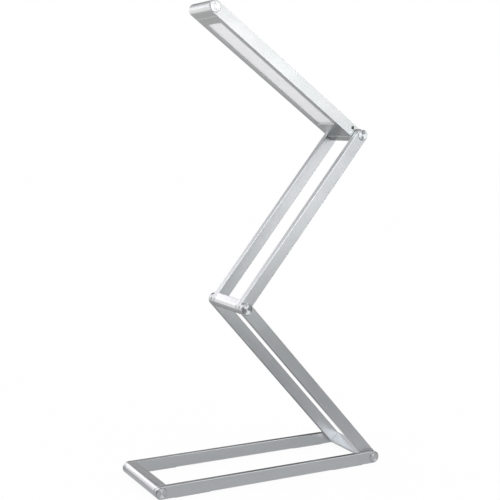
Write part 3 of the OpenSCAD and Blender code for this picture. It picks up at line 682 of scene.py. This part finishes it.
capTree = makeCapTree()
addCaps(capTree, "baseNoseTurnedCaps", "base", "base_nose_caps")
addCaps(capTree, "baseHingeTurnedCaps", "base", "base_hinge_caps")
addCaps(capTree, "midHingeTurnedCaps", "lower_arm", "mid_hinge_caps")
addCaps(capTree, "topHingeTurnedCaps", "upper_arm", "top_hinge_caps")
addCaps(capTree, "headNoseTurnedCaps", "head", "head_nose_caps")


# Foot pads with cross ribs

padShape = {"ribPitch": 0.0015, "ribWidth": 0.0009, "ribHeight": 0.00025}


def makePadTree():
    tree, given = newTree("ribbedPad", "GeometryNodeTree", {
        "Spread X": ("Float", 0.1), "Spread Y": ("Float", 0.05),
        "Size": ("Vector", None), "Middle": ("Vector", None),
        "Rib Count": ("Int", 20), "Rib Width": ("Float", 0.001), "Rib Height": ("Float", 0.0002),
        "Finish": ("Material", None),
    }, {"Geometry": "Geometry"})
    size = partsOf(tree, given["Size"])
    coreHeight = mathOf(tree, "SUBTRACT", size["Z"], given["Rib Height"])
    core = resultOf(tree, "GeometryNodeMeshCube", {"Size": vectorOf(tree, size["X"], size["Y"], coreHeight)})
    lift = vectorOf(tree, 0.0, 0.0, mathOf(tree, "MULTIPLY", given["Rib Height"], 0.5))
    raised = resultOf(tree, "GeometryNodeTransform", {"Geometry": core, "Translation": lift})
    ribDepth = mathOf(tree, "MULTIPLY", given["Rib Height"], 2.0)  # half of a rib is sunk in the pad
    ribSize = vectorOf(tree, given["Rib Width"], size["Y"], ribDepth)
    rib = resultOf(tree, "GeometryNodeMeshCube", {"Size": ribSize})
    reach = mathOf(tree, "MULTIPLY", mathOf(tree, "SUBTRACT", size["X"], given["Rib Width"]), 0.5)
    drop = mathOf(tree, "MULTIPLY_ADD", size["Z"], -0.5, given["Rib Height"])
    first = vectorOf(tree, mathOf(tree, "MULTIPLY", reach, -1.0), 0.0, drop)
    last = vectorOf(tree, reach, 0.0, drop)
    row = resultOf(tree, "GeometryNodeMeshLine", {
        "Count": given["Rib Count"], "Start Location": first, "Offset": last,
    }, mode="END_POINTS")
    ribs = resultOf(tree, "GeometryNodeInstanceOnPoints", {"Points": row, "Instance": rib})
    pad = addNode(tree, "GeometryNodeJoinGeometry")
    tree.links.new(ribs, pad.inputs[0])
    tree.links.new(raised, pad.inputs[0])
    corners = resultOf(tree, "GeometryNodeMeshGrid", {
        "Size X": given["Spread X"], "Size Y": given["Spread Y"], "Vertices X": 2, "Vertices Y": 2,
    })
    placed = resultOf(tree, "GeometryNodeTransform", {"Geometry": corners, "Translation": given["Middle"]})
    four = resultOf(tree, "GeometryNodeInstanceOnPoints", {"Points": placed, "Instance": pad.outputs[0]})
    return endShape(tree, four, given["Finish"])


padLow, padHigh = lowPart("base_foot_pads", 0, 1)
padSize = padHigh - padLow
padMiddle = (padLow + padHigh) / 2
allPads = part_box("base_foot_pads")
growPiece("ribbedFootPads", makePadTree(), {
    "Spread X": allPads[1].x - allPads[0].x - padSize.x,
    "Spread Y": allPads[1].y - allPads[0].y - padSize.y,
    "Size": padSize, "Middle": ((allPads[0].x + allPads[1].x) / 2, 0.0, padMiddle.z),
    "Rib Count": int(padSize.x / padShape["ribPitch"]), "Rib Width": padShape["ribWidth"],
    "Rib Height": padShape["ribHeight"], "Finish": finishFor("grey_rubber", "base"),
}, "base", "base_foot_pads")


# LED packages: a white cup with a dome of phosphor, facing the diffuser

ledShape = {
    "wall": 0.00045, "cupDepth": 0.0003, "floorShare": 0.86,
    "domeSteps": 3, "domeRise": 0.00008, "domeShare": 0.72,
    "lensLimit": -0.5,  # faces whose normal has a lower Z look at the diffuser
}


def makeLedTree():
    tree, given = newTree("ledRows", "GeometryNodeTree", {
        "Spread Along": ("Float", 0.1), "Spread Across": ("Float", 0.01),
        "Count": ("Int", 10), "Rows": ("Int", 2),
        "Size": ("Vector", None), "Middle": ("Vector", None), "Turn": ("Float", 0.0),
        "Wall": ("Float", 0.0004), "Cup Depth": ("Float", 0.0003),
        "Dome Rise": ("Float", 0.0001), "Dome Share": ("Float", 0.7),
        "Package": ("Material", None), "Phosphor": ("Material", None),
    }, {"Geometry": "Geometry"})

    def pushed(mesh, faces, offset):  # the mesh with the faces moved out, and the moved faces
        values = {"Mesh": mesh, "Selection": faces, "Offset Scale": offset}
        made = addNode(tree, "GeometryNodeExtrudeMesh", values).outputs
        return made["Mesh"], made["Top"]

    def scaled(mesh, faces, share):
        values = {"Geometry": mesh, "Selection": faces, "Scale": share}
        return resultOf(tree, "GeometryNodeScaleElements", values)

    cube = resultOf(tree, "GeometryNodeMeshCube", {"Size": given["Size"]})
    body = resultOf(tree, "GeometryNodeSetMaterial", {"Geometry": cube, "Material": given["Package"]})
    facing = partsOf(tree, resultOf(tree, "GeometryNodeInputNormal"))["Z"]
    lens = mathOf(tree, "LESS_THAN", facing, ledShape["lensLimit"])
    width = partsOf(tree, given["Size"])["Y"]
    inner = mathOf(tree, "SUBTRACT", 1.0, mathOf(tree, "DIVIDE", given["Wall"], width))
    shape, edge = pushed(body, lens, 0.0)
    drop = mathOf(tree, "MULTIPLY", given["Cup Depth"], -1.0)
    shape, top = pushed(scaled(shape, edge, inner), edge, drop)
    cup = scaled(shape, top, ledShape["floorShare"])
    shape = resultOf(tree, "GeometryNodeSetMaterial", {
        "Geometry": cup, "Selection": top, "Material": given["Phosphor"],
    })
    for step in range(ledShape["domeSteps"]):
        shape, top = pushed(shape, top, given["Dome Rise"])
        shape = scaled(shape, top, given["Dome Share"])
    places = resultOf(tree, "GeometryNodeMeshGrid", {
        "Size X": given["Spread Along"], "Size Y": given["Spread Across"],
        "Vertices X": given["Count"], "Vertices Y": given["Rows"],
    })
    rows = resultOf(tree, "GeometryNodeInstanceOnPoints", {"Points": places, "Instance": shape})
    solid = resultOf(tree, "GeometryNodeRealizeInstances", {"Geometry": rows})
    placed = resultOf(tree, "GeometryNodeTransform", {
        "Geometry": solid, "Translation": given["Middle"], "Rotation": vectorOf(tree, 0.0, given["Turn"]),
    })
    return endTree(tree, {"Geometry": placed})


def levelsOf(values, digits=5):  # the different values among many, lowest first
    return sorted({round(value, digits) for value in values})


headTurn = Matrix.Rotation(-headSlope, 3, "Y")
chipPoints = [headTurn.inverted() @ vertex.co for vertex in nodes["led_chips"].data.vertices]
alongs, acrosses, heights = (levelsOf(point[axis] for point in chipPoints) for axis in range(3))
chipSize = Vector((alongs[1] - alongs[0], acrosses[1] - acrosses[0], heights[-1] - heights[0]))
chipMiddle = Vector([(values[0] + values[-1]) / 2 for values in (alongs, acrosses, heights)])
growPiece("ledPackages", makeLedTree(), {
    "Spread Along": alongs[-1] - alongs[0] - chipSize.x,
    "Spread Across": acrosses[-1] - acrosses[0] - chipSize.y,
    "Count": len(alongs) // 2, "Rows": len(acrosses) // 2,
    "Size": chipSize, "Middle": headTurn @ chipMiddle, "Turn": -headSlope,
    "Wall": ledShape["wall"], "Cup Depth": ledShape["cupDepth"],
    "Dome Rise": ledShape["domeRise"], "Dome Share": ledShape["domeShare"],
    "Package": finishFor("led_package", "head"), "Phosphor": finishFor("led_phosphor", "head"),
}, "head", "led_chips")


# Camera, at the photograph's place

cameraSet = {
    "place": (-0.478499, -0.844347, 0.338076), "yaw": 29.354, "pitch": -6.980, "roll": 1.2535,
    "lens": 71.766, "sensor": 36.0, "shiftX": -0.010719, "shiftY": 0.004347,
}


def addCamera(values):
    yaw, pitch, roll = (radians(values[key]) for key in ("yaw", "pitch", "roll"))
    ahead = Vector((sin(yaw) * cos(pitch), cos(yaw) * cos(pitch), sin(pitch)))
    right = Vector((cos(yaw), -sin(yaw), 0.0))
    up = right.cross(ahead)
    across = right * cos(roll) + up * sin(roll)
    upright = up * cos(roll) - right * sin(roll)
    camera = bpy.data.objects.new("camera", bpy.data.cameras.new("camera"))
    camera.data.lens = values["lens"]
    camera.data.sensor_width = values["sensor"]
    camera.data.shift_x = values["shiftX"]
    camera.data.shift_y = values["shiftY"]
    turn = Matrix((across, upright, -ahead)).transposed()
    camera.matrix_world = Matrix.Translation(values["place"]) @ turn.to_4x4()
    scene.collection.objects.link(camera)
    scene.camera = camera


addCamera(cameraSet)


# Studio: floor and world are white to the camera, gloss and glass, and the floor takes a faint shadow

studio = {"worldLight": 1.0, "floorColour": (0.95, 0.95, 0.95, 1.0), "floorShadow": 0.06, "floorReach": 12.0}


def seenDirectly(tree):  # 1 for camera, glossy and transmission rays
    path = addNode(tree, "ShaderNodeLightPath").outputs
    seen = mathOf(tree, "MAXIMUM", path["Is Camera Ray"], path["Is Glossy Ray"])
    return mathOf(tree, "MAXIMUM", seen, path["Is Transmission Ray"])


def addWorld():
    world = bpy.data.worlds.new("studioWorld")
    world.use_nodes = True
    tree = world.node_tree
    strength = rampOf(tree, seenDirectly(tree), 0.0, 1.0, studio["worldLight"], 1.0)
    setInputs(tree, tree.nodes["Background"], {"Color": white, "Strength": strength})
    scene.world = world


def newSurface(name):  # a material without its first shader, and the socket that takes another
    material, tree, shader = newMaterial(name)
    tree.nodes.remove(shader)
    return material, tree, tree.nodes["Material Output"].inputs["Surface"]


def addSheet(name, corners, material):
    mesh = bpy.data.meshes.new(name)
    mesh.from_pydata(corners, [], [(0, 1, 2, 3)])
    mesh.materials.append(material)
    sheet = bpy.data.objects.new(name, mesh)
    scene.collection.objects.link(sheet)
    return sheet


def addFloor():
    material, tree, surface = newSurface("floorPaint")
    paint = resultOf(tree, "ShaderNodeBsdfDiffuse", {"Color": studio["floorColour"]})
    glow = resultOf(tree, "ShaderNodeEmission", {"Strength": 1.0})
    amount = mathOf(tree, "MULTIPLY", seenDirectly(tree), 1.0 - studio["floorShadow"])
    tree.links.new(resultOf(tree, "ShaderNodeMixShader", {0: amount, 1: paint, 2: glow}), surface)
    reach = studio["floorReach"]
    corners = [(x * reach, y * reach, 0) for x, y in ((-1, -1), (1, -1), (1, 1), (-1, 1))]
    addSheet("studioFloor", corners, material)


def addCard(name, centre, across, upward, glow, tint=(1, 1, 1), lights=False):  # seen by gloss alone
    material, tree, surface = newSurface(name)
    emission = {"Color": (*tint, 1.0), "Strength": glow}
    tree.links.new(resultOf(tree, "ShaderNodeEmission", emission), surface)
    middle, wide, tall = Vector(centre), Vector(across) / 2, Vector(upward) / 2
    corners = [middle - wide - tall, middle + wide - tall, middle + wide + tall, middle - wide + tall]
    card = addSheet(name, corners, material)
    card.visible_camera = False
    card.visible_shadow = False
    card.visible_diffuse = lights


cardRise = 0.0004  # how far above the floor its cards lie
cards = {
    "keySoftbox": {
        "centre": (0.79, -2.1, 0.425), "across": (1.28, 0, 0), "upward": (0, 0, 0.85), "glow": 2.34,
    },
    "keyEdge": {
        "centre": (1.815, -2.1, 0.425), "across": (0.77, 0, 0), "upward": (0, 0, 0.85),
        "glow": 0.74, "tint": (0.96, 1, 1.05),
    },
    "highSoftbox": {
        "centre": (-0.375, -2.1, 1.725), "across": (1.05, 0, 0), "upward": (0, 0, 1.75),
        "glow": 2.35, "tint": (0.95, 1, 1.03),
    },
    "frontFlag": {
        "centre": (0.4, -2.15, 1.3), "across": (7.2, 0, 0), "upward": (0, 0, 2.6), "glow": 0.0,
    },
    "floorClose": {
        "centre": (1.0, -0.035, cardRise), "across": (3.2, 0, 0), "upward": (0, 0.17, 0),
        "glow": 0.52, "tint": (0.98, 1, 1.02),
    },
    "floorFront": {
        "centre": (1.0, -0.245, cardRise), "across": (3.2, 0, 0), "upward": (0, 0.25, 0),
        "glow": 0.42, "tint": (0.98, 1, 1.02),
    },
    "farFloorFront": {
        "centre": (1.6, -0.935, cardRise), "across": (3.2, 0, 0), "upward": (0, 1.13, 0),
        "glow": 0.2, "tint": (0.9, 1, 1),
    },
    "floorEdgeFront": {
        "centre": (1.6, -1.8, cardRise), "across": (3.2, 0, 0), "upward": (0, 0.6, 0),
        "glow": 0.85, "tint": (0.95, 1, 1),
    },
    "floorBehindLeft": {
        "centre": (-0.29, 0.25, cardRise), "across": (0.62, 0, 0), "upward": (0, 0.4, 0), "glow": 0.42,
    },
    "floorBehind": {
        "centre": (1.31, 0.25, cardRise), "across": (2.58, 0, 0), "upward": (0, 0.4, 0),
        "glow": 0.2, "tint": (0.97, 1, 1.05),
    },
    "farFloorBehind": {
        "centre": (0.2, 1.175, cardRise), "across": (1.0, 0, 0), "upward": (0, 1.45, 0), "glow": 0.48,
    },
    "farFloorFlag": {
        "centre": (1.95, 1.175, cardRise), "across": (2.5, 0, 0), "upward": (0, 1.45, 0), "glow": 0.0,
    },
    "rearSoftbox": {  # the only card that lights matt faces too
        "centre": (-0.55, 1.9, 0.8), "across": (0.8, 0, 0), "upward": (0, 0, 0.6),
        "glow": 1.87, "tint": (1, 0.99, 1.01), "lights": True,
    },
    "rearHighCard": {
        "centre": (-1.675, 1.9, 1.85), "across": (3.05, 0, 0), "upward": (0, 0, 1.5),
        "glow": 0.62, "tint": (1, 0.99, 1.03),
    },
    "rearRightCard": {
        "centre": (0.425, 1.88, 0.775), "across": (1.15, 0, 0), "upward": (0, 0, 0.65), "glow": 0.5,
    },
    "rearFlag": {
        "centre": (1.625, 1.9, 1.3), "across": (3.55, 0, 0), "upward": (0, 0, 2.6), "glow": 0.07,
    },
    "rightFlag": {
        "centre": (2.8, -0.1, 1.3), "across": (0, 4.0, 0), "upward": (0, 0, 2.6), "glow": 0.0,
    },
    "rightHighCard": {
        "centre": (2.78, 0.3, 1.9), "across": (0, 1.8, 0), "upward": (0, 0, 1.4), "glow": 1.0,
    },
    "leftFlag": {
        "centre": (-2.8, -0.1, 1.3), "across": (0, 4.0, 0), "upward": (0, 0, 2.6), "glow": 0.0,
    },
    "topRearSoftbox": {
        "centre": (-1.55, 1.35, 2.4), "across": (2.5, 0, 0), "upward": (0, 1.1, 0),
        "glow": 2.8, "tint": (0.98, 1, 1),
    },
    "topLeftCard": {
        "centre": (-1.55, -0.1, 2.4), "across": (2.5, 0, 0), "upward": (0, 1.8, 0),
        "glow": 0.9, "tint": (0.98, 1, 1),
    },
    "topFrontSoftbox": {
        "centre": (-1.85, -1.55, 2.4), "across": (1.9, 0, 0), "upward": (0, 1.1, 0),
        "glow": 2.6, "tint": (0.98, 1, 1),
    },
    "topMiddleCard": {
        "centre": (0.3, -0.1, 2.4), "across": (1.2, 0, 0), "upward": (0, 4.0, 0), "glow": 0.44,
    },
    "topRightSoftbox": {
        "centre": (1.35, -0.3, 2.4), "across": (0.9, 0, 0), "upward": (0, 1.0, 0), "glow": 2.6,
    },
}

addWorld()
addFloor()
for name, card in cards.items():
    addCard(name, **card)
print("studio ready")
